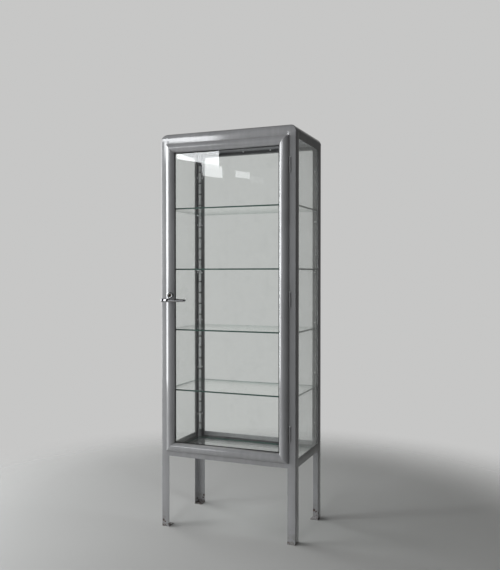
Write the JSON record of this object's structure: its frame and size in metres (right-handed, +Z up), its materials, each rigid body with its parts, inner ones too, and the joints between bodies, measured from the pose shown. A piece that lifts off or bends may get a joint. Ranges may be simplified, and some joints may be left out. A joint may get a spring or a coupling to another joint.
{
  "type": "display cabinet",
  "caption": "Free-standing glazed display cabinet on angle legs: half-round framed door with lever latch, glass walls and glass shelves on notched standards.",
  "frame": {"origin": "on the ground, under the middle of the overall width and depth (the lever counted in the depth)", "axes": "+X to the right of somebody facing the door, +Y to the back, +Z up; the door is on the -Y side"},
  "size_m": [0.6, 0.408, 1.668],
  "materials": {
    "grey_enamel": "satin grey enamel on sheet steel, chipped at the feet",
    "black_enamel": "black enamel on the glazing beads",
    "zinc_steel": "dull zinc plate",
    "clear_glass": "clear float glass with a green edge",
    "black_rubber": "matte black",
    "chrome_plate": "polished, slightly worn",
    "brass": "dull"
  },
  "bodies": {
    "cabinet": {"leg_front_left": "grey_enamel", "leg_front_right": "grey_enamel", "leg_rear_left": "grey_enamel", "leg_rear_right": "grey_enamel", "foot_plates": "grey_enamel", "roof_cap": "grey_enamel", "front_bottom_rail": "grey_enamel", "rear_bottom_rail": "grey_enamel", "left_bottom_rail": "grey_enamel", "right_bottom_rail": "grey_enamel", "front_top_rail": "grey_enamel", "rear_top_rail": "grey_enamel", "left_top_rail": "grey_enamel", "right_top_rail": "grey_enamel", "hinge_frame_leaves": "grey_enamel", "rear_glazing_beads": "black_enamel", "left_glazing_beads": "black_enamel", "right_glazing_beads": "black_enamel", "shelf_standard_front_left": "zinc_steel", "shelf_standard_front_right": "zinc_steel", "shelf_standard_rear_left": "zinc_steel", "shelf_standard_rear_right": "zinc_steel", "shelf_1_clips": "zinc_steel", "shelf_2_clips": "zinc_steel", "shelf_3_clips": "zinc_steel", "shelf_4_clips": "zinc_steel", "bead_screws": "zinc_steel", "standard_screws": "zinc_steel", "hinge_pins": "zinc_steel", "rear_glass": "clear_glass", "left_glass": "clear_glass", "right_glass": "clear_glass", "floor_glass": "clear_glass", "door_buffers": "black_rubber"},
    "door": {"door_stile_left": "grey_enamel", "door_stile_right": "grey_enamel", "door_rail_bottom": "grey_enamel", "door_rail_top": "grey_enamel", "door_glass": "clear_glass", "door_gasket": "black_rubber", "door_glazing_beads": "black_enamel", "door_bead_screws": "zinc_steel", "hinge_door_leaves": "grey_enamel", "lock_case": "zinc_steel", "lock_rosette": "chrome_plate", "handle_collar": "chrome_plate"},
    "handle": {"lever": "chrome_plate", "lever_spindle": "zinc_steel", "latch_cam": "zinc_steel", "cam_screw": "zinc_steel"},
    "lock_barrel": {"lock_plug": "brass", "lock_tail": "zinc_steel"},
    "shelf_1": {"shelf_1_glass": "clear_glass"},
    "shelf_2": {"shelf_2_glass": "clear_glass"},
    "shelf_3": {"shelf_3_glass": "clear_glass"},
    "shelf_4": {"shelf_4_glass": "clear_glass"}
  },
  "joints": [
    {"name": "door_hinge", "type": "hinge", "parent": "cabinet", "child": "door", "pos_m": [0.2775, -0.1495, 0.974], "axis": [0, 0, 1], "range_deg": [0, 120]},
    {"name": "lever_turn", "type": "hinge", "parent": "door", "child": "handle", "pos_m": [-0.248, -0.19, 0.966], "axis": [0, 1, 0], "range_deg": [0, 90]},
    {"name": "key_turn", "type": "hinge", "parent": "door", "child": "lock_barrel", "pos_m": [-0.248, -0.17, 0.987], "axis": [0, 1, 0], "range_deg": [-90, 0]},
    {"name": "shelf_1_lift", "type": "slide", "parent": "cabinet", "child": "shelf_1", "axis": [0, 0, 1], "range_m": [0, 0.04]},
    {"name": "shelf_2_lift", "type": "slide", "parent": "cabinet", "child": "shelf_2", "axis": [0, 0, 1], "range_m": [0, 0.04]},
    {"name": "shelf_3_lift", "type": "slide", "parent": "cabinet", "child": "shelf_3", "axis": [0, 0, 1], "range_m": [0, 0.04]},
    {"name": "shelf_4_lift", "type": "slide", "parent": "cabinet", "child": "shelf_4", "axis": [0, 0, 1], "range_m": [0, 0.04]}
  ]
}
